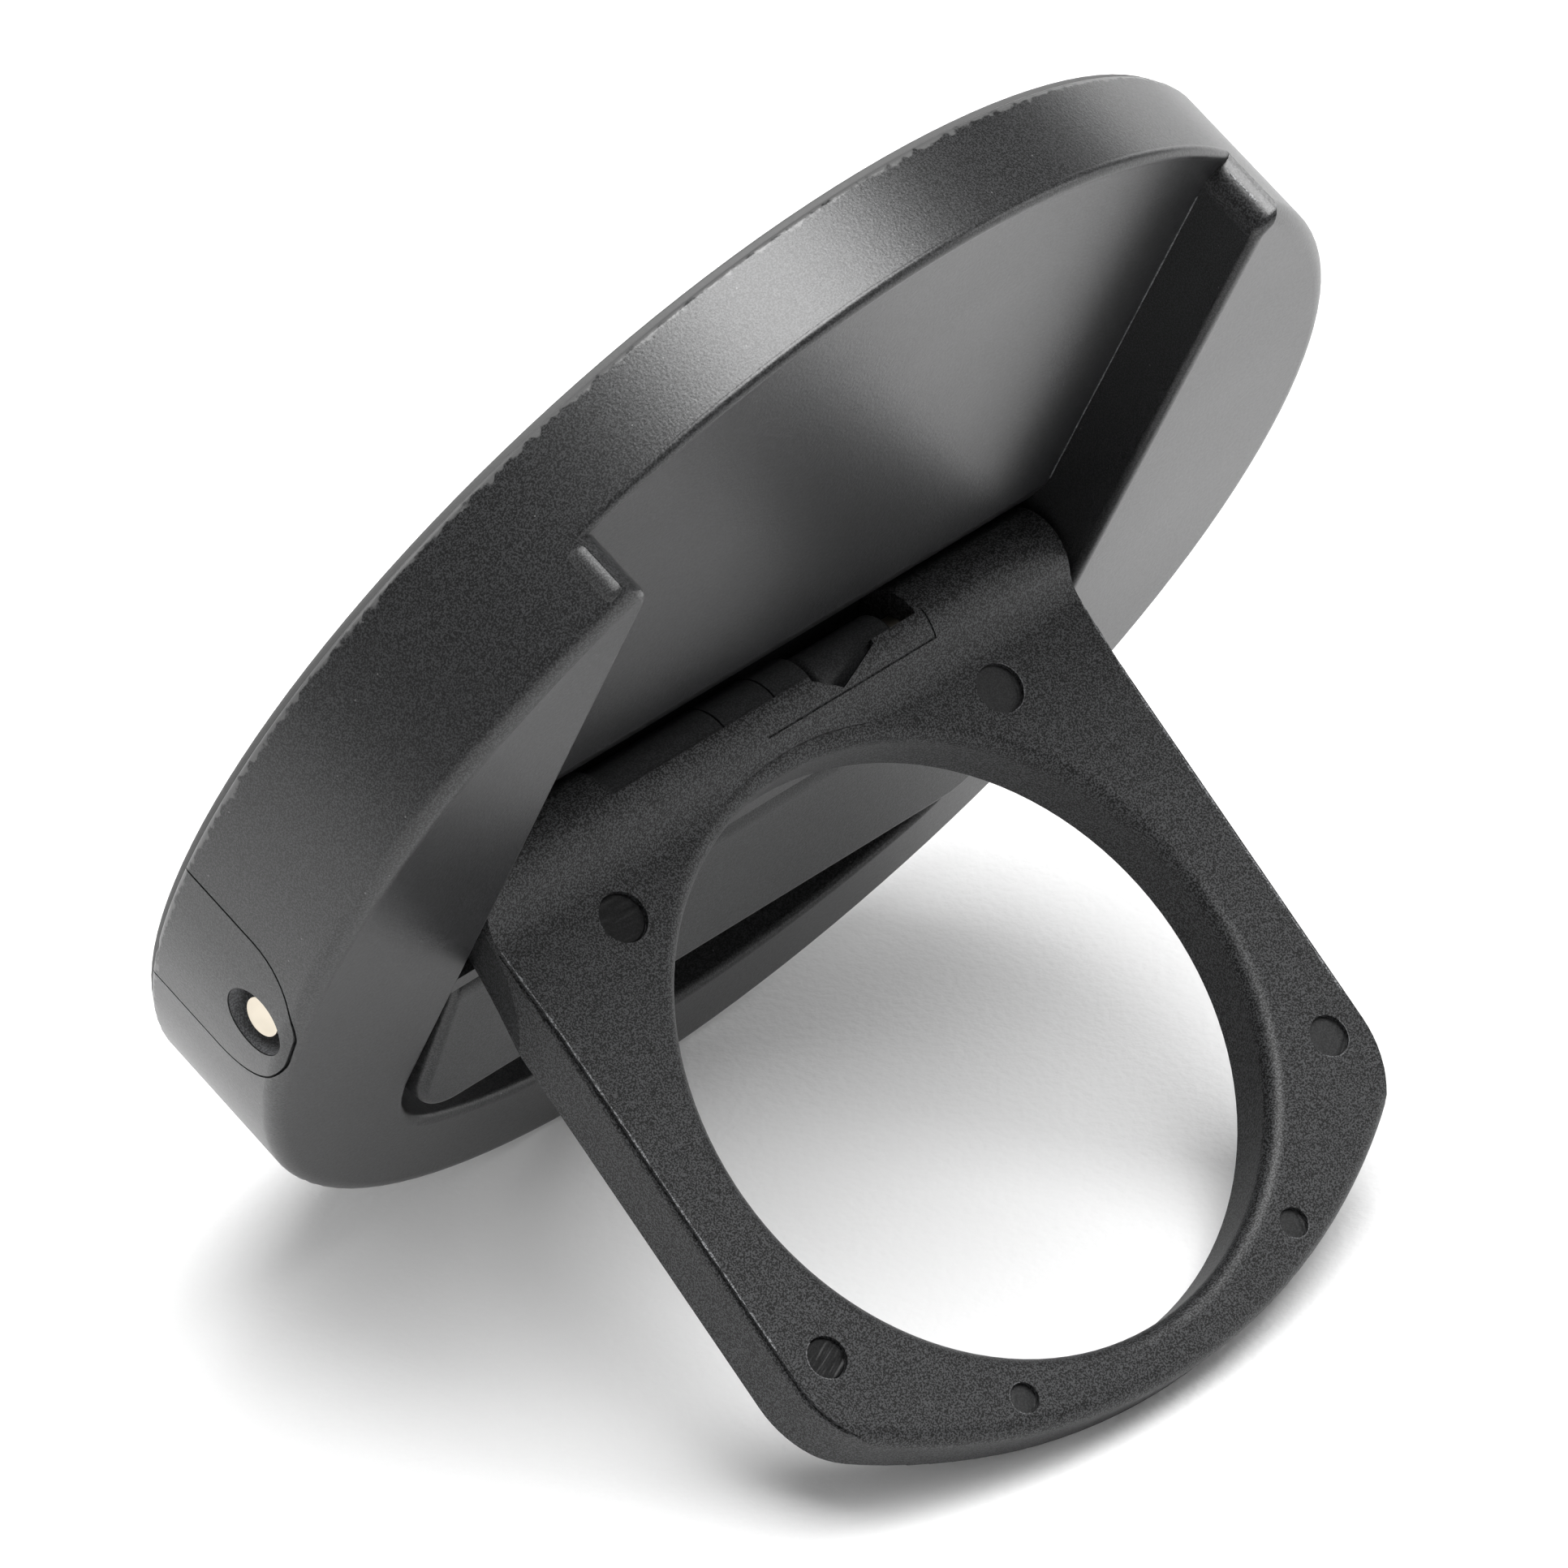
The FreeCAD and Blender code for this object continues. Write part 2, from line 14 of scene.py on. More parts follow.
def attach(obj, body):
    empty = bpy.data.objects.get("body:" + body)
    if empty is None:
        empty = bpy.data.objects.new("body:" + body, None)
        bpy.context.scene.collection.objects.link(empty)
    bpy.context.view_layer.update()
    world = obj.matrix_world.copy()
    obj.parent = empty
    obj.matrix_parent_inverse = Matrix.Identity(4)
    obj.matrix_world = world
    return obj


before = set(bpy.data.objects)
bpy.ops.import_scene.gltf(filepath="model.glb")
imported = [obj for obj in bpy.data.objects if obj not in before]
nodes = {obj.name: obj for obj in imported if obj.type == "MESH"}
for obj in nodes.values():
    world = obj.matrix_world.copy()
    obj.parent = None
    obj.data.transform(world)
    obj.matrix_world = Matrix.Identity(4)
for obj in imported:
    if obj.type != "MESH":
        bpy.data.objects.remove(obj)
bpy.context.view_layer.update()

# %% [markdown]
# ## The camera
#
# The picture is taken from high on the left with a long lens: opposite edges of the flap stay almost
# parallel. A long lens is made by standing far back and narrowing the view, so the camera stands
# 0.6 m away with a 335 mm lens. Its directions come from azimuth, elevation and a small roll, because
# those three angles are easy to read and to change one at a time.

# %% Set up the camera
VIEW_AZIMUTH = -44.132
VIEW_ELEVATION = 34.149
VIEW_ROLL = -2.657
CAMERA_PLACE = (-0.352707, -0.361553, 0.364603)
LENS_MM = 335.4
SENSOR_MM = 36.0
NEAREST, FARTHEST = 0.05, 20.0


def view_turn(azimuth, elevation, roll=0.0):
    """The turn of a camera or lamp that looks at the mount from these angles, in degrees."""
    azimuth, elevation, roll = (math.radians(angle) for angle in (azimuth, elevation, roll))
    back = Vector((
        math.sin(azimuth) * math.cos(elevation),
        -math.cos(azimuth) * math.cos(elevation),
        math.sin(elevation),
    ))
    level = Vector((math.cos(azimuth), math.sin(azimuth), 0.0))
    right = math.cos(roll) * level + math.sin(roll) * back.cross(level)
    return Matrix((right, back.cross(right), back)).transposed().to_4x4()


camera_data = bpy.data.cameras.new("portrait_camera")
camera_data.lens = LENS_MM
camera_data.sensor_width = SENSOR_MM
camera_data.clip_start, camera_data.clip_end = NEAREST, FARTHEST
camera = bpy.data.objects.new("portrait_camera", camera_data)
bpy.context.scene.collection.objects.link(camera)
look = view_turn(VIEW_AZIMUTH, VIEW_ELEVATION, VIEW_ROLL)
camera.matrix_world = Matrix.Translation(CAMERA_PLACE) @ look
bpy.context.scene.camera = camera
print("camera: lens", LENS_MM, "mm,", round(camera.location.length, 3), "m away")

# %% [markdown]
# ## Light
#
# Dark plastic shows its surroundings more than its own colour. A white room would make it flat, and a
# black room would make the shadow on the table too hard. So the room has two strengths: a bright one
# for the light that falls on things, and a dim one for what glossy surfaces mirror.

# %% The room's light
WHITE = (1, 1, 1, 1)
ROOM_LIGHT = 0.43
ROOM_MIRROR = 0.17
world = bpy.data.worlds.new("studio")
world.use_nodes = True
bpy.context.scene.world = world
room = world.node_tree
falling = room.nodes["Background"]
falling.inputs["Color"].default_value = WHITE
falling.inputs["Strength"].default_value = ROOM_LIGHT
mirrored = room.nodes.new("ShaderNodeBackground")
mirrored.inputs["Color"].default_value = WHITE
mirrored.inputs["Strength"].default_value = ROOM_MIRROR
choice = room.nodes.new("ShaderNodeMixShader")
path_kind = room.nodes.new("ShaderNodeLightPath")
room.links.new(path_kind.outputs["Is Glossy Ray"], choice.inputs["Fac"])
room.links.new(falling.outputs["Background"], choice.inputs[1])
room.links.new(mirrored.outputs["Background"], choice.inputs[2])
room.links.new(choice.outputs["Shader"], room.nodes["World Output"].inputs["Surface"])
bpy.context.scene.view_settings.view_transform = "Standard"
print("room: falling", ROOM_LIGHT, "and mirrored", ROOM_MIRROR)

# %% [markdown]
# Soft boxes stand round the table, and each becomes a broad sheen on a curved surface. The overhead box
# gives the bright patch on the rim; the rim falls dark on both sides of it. It is seen by gloss only,
# and a wider wash beside it lights the table, because one lamp for both would turn the table too
# bright, and the dark plastic would mirror that.

# %% Soft boxes
MOUNT_MIDDLE = Vector((0, 0, 0.027))
BOX_DISTANCE = 0.9


def soft_box(name, azimuth, elevation, size, power):
    """A rectangular soft light that looks at the mount's middle from the given side and height."""
    light = bpy.data.lights.new(name, "AREA")
    light.shape = "RECTANGLE"
    light.size, light.size_y = size
    light.energy = power
    lamp = bpy.data.objects.new(name, light)
    bpy.context.scene.collection.objects.link(lamp)
    turn = view_turn(azimuth, elevation)
    place = MOUNT_MIDDLE + turn.to_3x3().col[2] * BOX_DISTANCE
    lamp.matrix_world = Matrix.Translation(place) @ turn
    return lamp


gloss_box = soft_box("overhead_box", 24, 80, (0.62, 0.5), 14.0)
gloss_box.visible_diffuse = False
wash_box = soft_box("overhead_wash", 20, 82, (0.9, 0.9), 14.0)
wash_box.visible_glossy = False
side_boxes = [
    soft_box("right_box", 110, 8, (0.4, 0.3), 0.8),
    soft_box("left_box", -150, 25, (0.5, 0.4), 2.0),
    soft_box("front_box", 50, 14, (0.5, 0.4), 1.6),
]
print("light:", gloss_box.name, wash_box.name, "and", len(side_boxes), "side boxes")

# %% [markdown]
# ## Shared effects
#
# Several finishes need the same effects at different strengths, so each effect is a node group.
# Small helpers make the nodes, because the same few kinds come back in every group.

# %% Node helpers
def new_group(name, inputs, outputs):
    """An empty shader group with float inputs (name, default) and float outputs."""
    group = bpy.data.node_groups.new(name, "ShaderNodeTree")
    for title, default in inputs:
        socket = group.interface.new_socket(title, in_out="INPUT", socket_type="NodeSocketFloat")
        socket.default_value = default
    for title in outputs:
        group.interface.new_socket(title, in_out="OUTPUT", socket_type="NodeSocketFloat")
    return group, group.nodes.new("NodeGroupInput"), group.nodes.new("NodeGroupOutput")


def math_node(tree, operation, *values):
    """A Math node whose inputs are numbers or the sockets that feed them. Gives its output socket."""
    node = tree.nodes.new("ShaderNodeMath")
    node.operation = operation
    for socket, value in zip(node.inputs, values):
        if isinstance(value, (int, float)):
            socket.default_value = value
        else:
            tree.links.new(value, socket)
    return node.outputs[0]


def noise_node(tree, vector, scale, detail):
    """A Noise texture at a scale that is a number or a socket. Gives its factor."""
    node = tree.nodes.new("ShaderNodeTexNoise")
    node.inputs["Detail"].default_value = detail
    tree.links.new(vector, node.inputs["Vector"])
    if isinstance(scale, (int, float)):
        node.inputs["Scale"].default_value = scale
    else:
        tree.links.new(scale, node.inputs["Scale"])
    return node.outputs["Fac"]


def vector_node(tree, operation, first, second=None):
    """A Vector Math node of a socket and, where the operation needs one, a fixed vector."""
    node = tree.nodes.new("ShaderNodeVectorMath")
    node.operation = operation
    tree.links.new(first, node.inputs[0])
    if second is not None:
        node.inputs[1].default_value = second
    return node


print("helpers:", new_group.__name__, math_node.__name__, noise_node.__name__, vector_node.__name__)

# %% [markdown]
# Spark-eroded mould steel leaves a fine, even grain on everything that is moulded in it. Slow drift
# of gloss comes from how the plastic cooled. Both are noises in object space, so they stay on a piece
# when it turns on its hinge. Each tiny pit of the grain is smaller than a picture point, so the group
# also gives the grain as a speckle, with its contrast raised, for the colour to follow.

# %% Grain group
SPECKLE_FINENESS = 1.7
SPECKLE_LOW, SPECKLE_HIGH = 0.44, 0.6
grain, given, result = new_group(
    "mould_grain",
    [("Grain Scale", 8000.0), ("Drift Scale", 70.0), ("Roughness", 0.5), ("Variation", 0.1)],
    ["Height", "Roughness", "Drift", "Speckle"],
)
place = grain.nodes.new("ShaderNodeTexCoord").outputs["Object"]
fine = noise_node(grain, place, given.outputs["Grain Scale"], 2.0)
drift = noise_node(grain, place, given.outputs["Drift Scale"], 4.0)
swing = math_node(grain, "SUBTRACT", math_node(grain, "ADD", fine, drift), 1.0)
gloss = math_node(grain, "MULTIPLY_ADD", swing, given.outputs["Variation"], given.outputs["Roughness"])
pit_scale = math_node(grain, "MULTIPLY", given.outputs["Grain Scale"], SPECKLE_FINENESS)
pits = noise_node(grain, place, pit_scale, 1.0)
steep = grain.nodes.new("ShaderNodeMapRange")
steep.inputs["From Min"].default_value = SPECKLE_LOW
steep.inputs["From Max"].default_value = SPECKLE_HIGH
grain.links.new(pits, steep.inputs["Value"])
grain.links.new(steep.outputs["Result"], result.inputs["Speckle"])
grain.links.new(fine, result.inputs["Height"])
grain.links.new(gloss, result.inputs["Roughness"])
grain.links.new(drift, result.inputs["Drift"])
print("group:", grain.name, "with", len(grain.nodes), "nodes")

# %% [markdown]
# The front edge of the disc is where the grip sheet was trimmed and where the mount gets knocked: it
# carries a thin, pale, uneven line. The line is a mask on the distance behind the front face, kept
# to the outermost ring of the disc so that the face itself stays dark. Noise moves its border in and
# out, so the line frays instead of ending cleanly.

# %% Scuff group
FRONT_CENTRE = Vector((0.0, 0.0077766, 0.0293157))
BACKWARD = Vector((0.0, -0.889848, -0.456257))
EDGE_RING = 0.0284
FRAY_SCALE, FRAY_DETAIL = 2200.0, 6.0
BORDER_SHARPNESS = 9000.0
scuff, given, result = new_group("edge_scuff", [("Depth", 0.0005), ("Fray", 0.0005)], ["Mask"])
place = scuff.nodes.new("ShaderNodeTexCoord").outputs["Object"]
from_centre = vector_node(scuff, "SUBTRACT", place, FRONT_CENTRE).outputs["Vector"]
behind = vector_node(scuff, "DOT_PRODUCT", from_centre, BACKWARD).outputs["Value"]
aside = vector_node(scuff, "CROSS_PRODUCT", from_centre, BACKWARD).outputs["Vector"]
radius = vector_node(scuff, "LENGTH", aside).outputs["Value"]
outermost = math_node(scuff, "GREATER_THAN", radius, EDGE_RING)
ragged = noise_node(scuff, place, FRAY_SCALE, FRAY_DETAIL)
ragged = math_node(scuff, "SUBTRACT", ragged, 0.5)
border = math_node(scuff, "MULTIPLY_ADD", ragged, given.outputs["Fray"], given.outputs["Depth"])
inside = math_node(scuff, "SUBTRACT", border, behind)
mask = math_node(scuff, "MULTIPLY_ADD", inside, BORDER_SHARPNESS, 0.5)
bound = scuff.nodes.new("ShaderNodeClamp")
scuff.links.new(mask, bound.inputs["Value"])
mask = math_node(scuff, "MULTIPLY", bound.outputs["Result"], outermost)
scuff.links.new(mask, result.inputs["Mask"])
print("group:", scuff.name, "with", len(scuff.nodes), "nodes")

# %% [markdown]
# A second mask scatters a few dust specks, because charcoal plastic never stays clean in front of a
# lens. Each speck is the middle of a Voronoi cell, which spaces them unevenly without any list.

# %% Dust group
dust, given, result = new_group("dust_specks", [("Scale", 700.0), ("Share", 0.05)], ["Mask"])
place = dust.nodes.new("ShaderNodeTexCoord").outputs["Object"]
cells = dust.nodes.new("ShaderNodeTexVoronoi")
dust.links.new(place, cells.inputs["Vector"])
dust.links.new(given.outputs["Scale"], cells.inputs["Scale"])
near = math_node(dust, "LESS_THAN", cells.outputs["Distance"], given.outputs["Share"])
dust.links.new(near, result.inputs["Mask"])
print("group:", dust.name, "with", len(dust.nodes), "nodes")

# %% [markdown]
# ## Moulded plastic
#
# All dark pieces are the same charcoal plastic; they differ in how the mould was finished, and a few
# are painted paler or darker as painted highlight or painted shade. The disc is fairly smooth, so it
# mirrors the boxes softly. The stand flap's mould was left rougher, so its grain is strong enough to show
# as a speckle. One function makes them all from the grain group, a dark and a light grey on both sides
# of the given one, and the strength of the bump.

# %% Making a plastic
PIT_SHARE, GRIT_SHARE = 0.8, 2.6
DEEP_TINT, PALE_TINT = (0.94, 0.96, 1.0), (1.04, 1.06, 1.1)
SCUFF_COLOUR = (0.085, 0.085, 0.085)
DUST_COLOUR = (0.1, 0.1, 0.1)
RELIEF_DEPTH = 0.00003


def add_group(tree, group, **values):
    """A group node in a material, with input values set by name (underscores stand for spaces)."""
    node = tree.nodes.new("ShaderNodeGroup")
    node.node_tree = group
    for title, value in values.items():
        node.inputs[title.replace("_", " ")].default_value = value
    return node


def mix_colour(tree, factor, first, second):
    """A colour mix; each colour is three numbers or the socket that feeds it. Gives its output."""
    node = tree.nodes.new("ShaderNodeMix")
    node.data_type = "RGBA"
    tree.links.new(factor, node.inputs["Factor"])
    for title, colour in (("A", first), ("B", second)):
        socket = next(item for item in node.inputs if item.name == title and item.type == "RGBA")
        if isinstance(colour, tuple):
            socket.default_value = (*colour, 1)
        else:
            tree.links.new(colour, socket)
    return next(item for item in node.outputs if item.type == "RGBA")


def scaled(colour, factor):
    """The same colour, lighter or darker."""
    return tuple(part * factor for part in colour)


def moulded(name, grey, roughness, specular=0.5, variation=0.1, grain_scale=8000.0, bump=0.3,
            contrast=0.3, worn=False):
    """Moulded plastic of a given grey. Contrast sets how far the speckle moves it from that grey, and
    worn plastic also gets the pale front edge and dust."""
    material = bpy.data.materials.new(name)
    material.use_nodes = True
    tree = material.node_tree
    shader = tree.nodes["Principled BSDF"]
    effect = add_group(tree, grain, Grain_Scale=grain_scale, Roughness=roughness, Variation=variation)
    dark, light = (1 - PIT_SHARE * contrast) * grey, (1 + GRIT_SHARE * contrast) * grey
    drift_mask = effect.outputs["Drift"]
    pit = mix_colour(tree, drift_mask, scaled(DEEP_TINT, dark), scaled(PALE_TINT, dark))
    grit = mix_colour(tree, drift_mask, scaled(DEEP_TINT, light), scaled(PALE_TINT, light))
    colour = mix_colour(tree, effect.outputs["Speckle"], pit, grit)
    if worn:
        edge = add_group(tree, scuff, Depth=0.00062, Fray=0.0009)
        specks = add_group(tree, dust, Scale=900.0, Share=0.035)
        colour = mix_colour(tree, edge.outputs["Mask"], colour, SCUFF_COLOUR)
        colour = mix_colour(tree, specks.outputs["Mask"], colour, DUST_COLOUR)
    tree.links.new(colour, shader.inputs["Base Color"])
    tree.links.new(effect.outputs["Roughness"], shader.inputs["Roughness"])
    shader.inputs["Specular IOR Level"].default_value = specular
    relief = tree.nodes.new("ShaderNodeBump")
    relief.inputs["Strength"].default_value = bump
    relief.inputs["Distance"].default_value = RELIEF_DEPTH
    tree.links.new(effect.outputs["Height"], relief.inputs["Height"])
    tree.links.new(relief.outputs["Normal"], shader.inputs["Normal"])
    return material


print("a plastic's bump is", RELIEF_DEPTH * 1000, "mm deep")

# %% The plastics
housing_finish = moulded("charcoal_plastic", 0.011, 0.34, contrast=0.7, worn=True)
flap_finish = moulded("spark_textured_plastic", 0.011, 0.5, specular=0.3, grain_scale=7800.0,
                      contrast=1.2)
lid_finish = moulded("lid_plastic", 0.012, 0.4, specular=0.45, contrast=0.7)
inner_finish = moulded("inner_plastic", 0.033, 0.55)
sleeve_finish = moulded("sleeve_plastic", 0.017, 0.45, specular=0.25, variation=0.2)
sheet_finish = moulded("grip_silicone", 0.03, 0.7, grain_scale=5000.0, bump=0.5, worn=True)
# Painted highlight: a pale grey for the highlit, rubbed edges of the flap; the right ear's rubbed line
# uses it too.
rub_and_highlight_finish = moulded("rubbed_edge_plastic", 0.055, 0.45, variation=0.25, contrast=0.9)
# Painted shade: the deepest ejector marks get a near-black grey for the shade in their recesses.
milled_shade_finish = moulded("milled_plastic_painted_shade", 0.005, 0.4, specular=0.19, variation=0.2)
faint_finish = moulded("faint_mark_plastic", 0.01, 0.45, specular=0.34, variation=0.2)
# Painted highlight: a pale grey for the rims of the ejector marks and the root lines of the channel.
painted_highlight_finish = moulded("painted_highlight_plastic", 0.04, 0.45, contrast=0.6)
# Painted light: the hole's wall gets a pale grey because little light reaches into the hole.
painted_light_hole_finish = moulded("hole_wall_painted_light", 0.12, 0.5)
bead_finish = moulded("bead_plastic", 0.011, 0.5, contrast=0.7)
print("plastics:", housing_finish.name, flap_finish.name, lid_finish.name, "and nine more")

# %% [markdown]
# ## Metal
#
# The ground end of the hinge pin shines in the rim, and the magnets and their steel ring lie hidden
# behind the front cover. Metals get their look mostly from gloss, so the grain group is used again
# with a larger variation: it gives the ground end its faint marks.

# %% Metal materials
SHADE_SHARE = 0.9


def metal(name, colour, roughness, variation, grain_scale):
    """Bare or plated metal whose gloss varies with the grain."""
    material = bpy.data.materials.new(name)
    material.use_nodes = True
    tree = material.node_tree
    shader = tree.nodes["Principled BSDF"]
    shader.inputs["Metallic"].default_value = 1.0
    effect = add_group(tree, grain, Grain_Scale=grain_scale, Roughness=roughness, Variation=variation)
    shaded = mix_colour(tree, effect.outputs["Drift"], scaled(colour, SHADE_SHARE), colour)
    tree.links.new(shaded, shader.inputs["Base Color"])
    tree.links.new(effect.outputs["Roughness"], shader.inputs["Roughness"])
    return material


pin_finish = metal("ground_steel", (0.66, 0.6, 0.5), 0.42, 0.25, 1500.0)
ring_finish = metal("rolled_steel", (0.62, 0.62, 0.62), 0.4, 0.2, 700.0)
magnet_finish = metal("nickel_plating", (0.68, 0.65, 0.6), 0.25, 0.1, 500.0)
print("metals:", pin_finish.name, ring_finish.name, magnet_finish.name)

# %% [markdown]
# ## Painting the pieces
#
# Each CAD node has one finish. The three large mouldings have long flat faces beside narrow round-overs,
# and plain smooth shading would bend the light across the flats. A Weighted Normal modifier lets the
# large faces decide. Where light only grazes a faceted curve, shadows can start at the facets, so the
# render is told to let them start a little later.

# %% Give each node its finish
finishes = {
    "back_housing": housing_finish,
    "stand_flap": flap_finish,
    "lid_flap": lid_finish,
    "front_cover": inner_finish,
    "grip_sheet": sheet_finish,
    "shunt_ring": ring_finish,
    "hinge_pin": pin_finish,
}
for name in nodes:
    if name.startswith("friction"):
        finishes[name] = sleeve_finish
    if name.startswith("magnet"):
        finishes[name] = magnet_finish
for name, material in finishes.items():
    nodes[name].data.materials.clear()
    nodes[name].data.materials.append(material)
print("painted:", len(finishes), "nodes")

# %% Even shading of the large mouldings
SHADOW_ANGLE_EASE = 0.3
SHADOW_PLACE_EASE = 1.0
large_mouldings = ("back_housing", "stand_flap", "lid_flap")
for name in large_mouldings:
    shading = nodes[name].modifiers.new("even_shading", "WEIGHTED_NORMAL")
    shading.keep_sharp = True
    nodes[name].cycles.shadow_terminator_offset = SHADOW_ANGLE_EASE
    nodes[name].cycles.shadow_terminator_geometry_offset = SHADOW_PLACE_EASE
print("evenly shaded:", *large_mouldings)

# %% [markdown]
# ## The table
#
# A white sweep fills the whole background, lit so brightly that only the soft shadow is left of it.
# It gets a faint drift and a fine relief too, so that it reads as paper and not as an empty page.

# %% Table top
FLOOR_REACH = 3.0
floor_mesh = bpy.data.meshes.new("table_top")
corners = [(-FLOOR_REACH, -FLOOR_REACH, 0), (FLOOR_REACH, -FLOOR_REACH, 0)]
corners += [(FLOOR_REACH, FLOOR_REACH, 0), (-FLOOR_REACH, FLOOR_REACH, 0)]
floor_mesh.from_pydata(corners, [], [(0, 1, 2, 3)])
table = bpy.data.objects.new("table_top", floor_mesh)
bpy.context.scene.collection.objects.link(table)
print("floor:", 2 * FLOOR_REACH, "m square")

# %% Paper finish
PAPER_SHADE, PAPER_WHITE = (0.9, 0.9, 0.9), (0.94, 0.94, 0.94)
FIBRE_DEPTH = 0.0002
table_finish = bpy.data.materials.new("white_sweep")
table_finish.use_nodes = True
tree = table_finish.node_tree
sweep = tree.nodes["Principled BSDF"]
paper = add_group(tree, grain, Grain_Scale=2200.0, Drift_Scale=120.0, Roughness=0.9, Variation=0.05)
paper_colour = mix_colour(tree, paper.outputs["Drift"], PAPER_SHADE, PAPER_WHITE)
tree.links.new(paper_colour, sweep.inputs["Base Color"])
tree.links.new(paper.outputs["Roughness"], sweep.inputs["Roughness"])
sweep.inputs["Specular IOR Level"].default_value = 0.1
fibres = tree.nodes.new("ShaderNodeBump")
fibres.inputs["Strength"].default_value = 0.25
fibres.inputs["Distance"].default_value = FIBRE_DEPTH
tree.links.new(paper.outputs["Height"], fibres.inputs["Height"])
tree.links.new(fibres.outputs["Normal"], sweep.inputs["Normal"])
floor_mesh.materials.append(table_finish)
print("paper:", table_finish.name, "with fibres", FIBRE_DEPTH * 1000, "mm deep")

# %% [markdown]
# ## Small moulding marks
#
# The last pieces are too fine for the CAD model. To place them, two helpers turn the flat drawing of
# the mount into its standing pose: one for the disc, and one for the stand flap, which is first
# folded out about its pin. Millimetres go in, because that is how a moulding is measured.

# %% From the flat drawing to the standing mount
LEAN = math.radians(117.14492)
FOLD = math.radians(104.2)
SHIFT = Vector((0.0, 7.7766, 29.3157))
PIN = Vector((0.0, -3.85, 6.15))
lean_turn = Matrix.Rotation(LEAN, 3, "X")
fold_turn = Matrix.Rotation(FOLD, 3, "X")


def on_disc(x, y, z):
    """A place on the disc: along the pin, towards the open end, and back from the front face."""
    return (lean_turn @ Vector((x, y, z)) + SHIFT) / 1000


def on_flap(x, along, above):
    """A place on the folded-out stand flap, measured from its pin."""
    return on_disc(*(PIN + fold_turn @ Vector((x, along, above))))


def direction(x, y, z):
    """A direction on the disc, of length one."""
    return (on_disc(x, y, z) - on_disc(0, 0, 0)).normalized()


def add_piece(name, points, faces, material, body):
    """A new mesh piece, smooth shaded, that moves with a body."""
    mesh = bpy.data.meshes.new(name)
    mesh.from_pydata(points, [], faces)
    mesh.shade_smooth()
    mesh.materials.append(material)
    piece = bpy.data.objects.new(name, mesh)
    bpy.context.scene.collection.objects.link(piece)
    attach(piece, body)
    return piece


print("pin axis:", [round(value, 5) for value in on_flap(0, 0, 0)])

# %% [markdown]
# The six round marks in the flap are where ejector pins pushed it out of the mould. The pins' ends were
# dressed with a cutter, and its straight strokes were cast into the plastic. Each mark gets a disc of
# rings and spokes with ridges along one direction: real relief keeps the strokes sharp from any side,
# where a bump would flatten. The heel and corner marks on the left were cut deepest, and their bottoms
# are painted darkest as painted shade in the recess.

# %% Making a milled mark
HEEL_MARK = (11.3, 4.28, 1.15)
CORNER_MARK = (15.25, 24.18, 0.95)
TIP_MARK = (8.22, 30.0, 0.7)
MARK_FLOOR = -0.65
MARK_ROOM = 0.02
MARK_EDGE = 0.004
RINGS = 22
SPOKES = 72
STROKE_LIFT, WAVE_HEIGHT, GOUGE_HEIGHT = 0.022, 0.016, 0.02


def stroke_height(across, along, seed):
    """Height of the cutter strokes, in millimetres, at a place measured across and along them."""
    wave = noise.noise((across * 7.0, along * 0.5, seed))
    gouge = noise.noise((across * 2.5, along * 0.35, seed + 5.0))
    return STROKE_LIFT + WAVE_HEIGHT * wave + GOUGE_HEIGHT * max(0.0, gouge)


def milled_mark(name, sign, spot, angle, seed, depth, material):
    """A disc with straight strokes at the bottom of one ejector mark. The spot gives its distance
    from the middle, its place along the flap and its radius; depth makes the strokes stronger."""
    aside, along, radius = spot
    x = sign * aside
    turn = math.radians(angle)
    points = [on_flap(x, along, MARK_FLOOR - depth * stroke_height(0, 0, seed))]
    for ring in range(1, RINGS + 1):
        reach = (radius - MARK_ROOM) * ring / RINGS
        for spoke in range(SPOKES):
            way = 2 * math.pi * spoke / SPOKES
            dx, dy = reach * math.cos(way), reach * math.sin(way)
            across = dx * math.cos(turn) + dy * math.sin(turn)
            lengthways = dy * math.cos(turn) - dx * math.sin(turn)
            height = depth * stroke_height(across, lengthways, seed) if ring < RINGS else MARK_EDGE
            points.append(on_flap(x + dx, along + dy, MARK_FLOOR - height))
    faces = [(0, 1 + (spoke + 1) % SPOKES, 1 + spoke) for spoke in range(SPOKES)]
    for ring in range(RINGS - 1):
        inner = 1 + ring * SPOKES
        outer = inner + SPOKES
        for spoke in range(SPOKES):
            after = (spoke + 1) % SPOKES
            faces.append((inner + spoke, inner + after, outer + after, outer + spoke))
    return add_piece(name, points, faces, material, "stand")


print("a mark has", RINGS, "rings and", SPOKES, "spokes")

# %% Milled bottoms of the ejector marks
LEFT, RIGHT = -1, 1
marks = [
    milled_mark("heel_mark_left", LEFT, HEEL_MARK, 93, 1.0, 2.0, milled_shade_finish),
    milled_mark("heel_mark_right", RIGHT, HEEL_MARK, 20, 2.0, 0.8, faint_finish),
    milled_mark("corner_mark_left", LEFT, CORNER_MARK, 67, 3.0, 2.6, milled_shade_finish),
    milled_mark("corner_mark_right", RIGHT, CORNER_MARK, 60, 4.0, 0.5, faint_finish),
    milled_mark("tip_mark_left", LEFT, TIP_MARK, 40, 5.0, 0.8, faint_finish),
    milled_mark("tip_mark_right", RIGHT, TIP_MARK, 10, 6.0, 0.6, faint_finish),
]
print("marks:", len(marks), "with", sum(len(piece.data.polygons) for piece in marks), "faces")

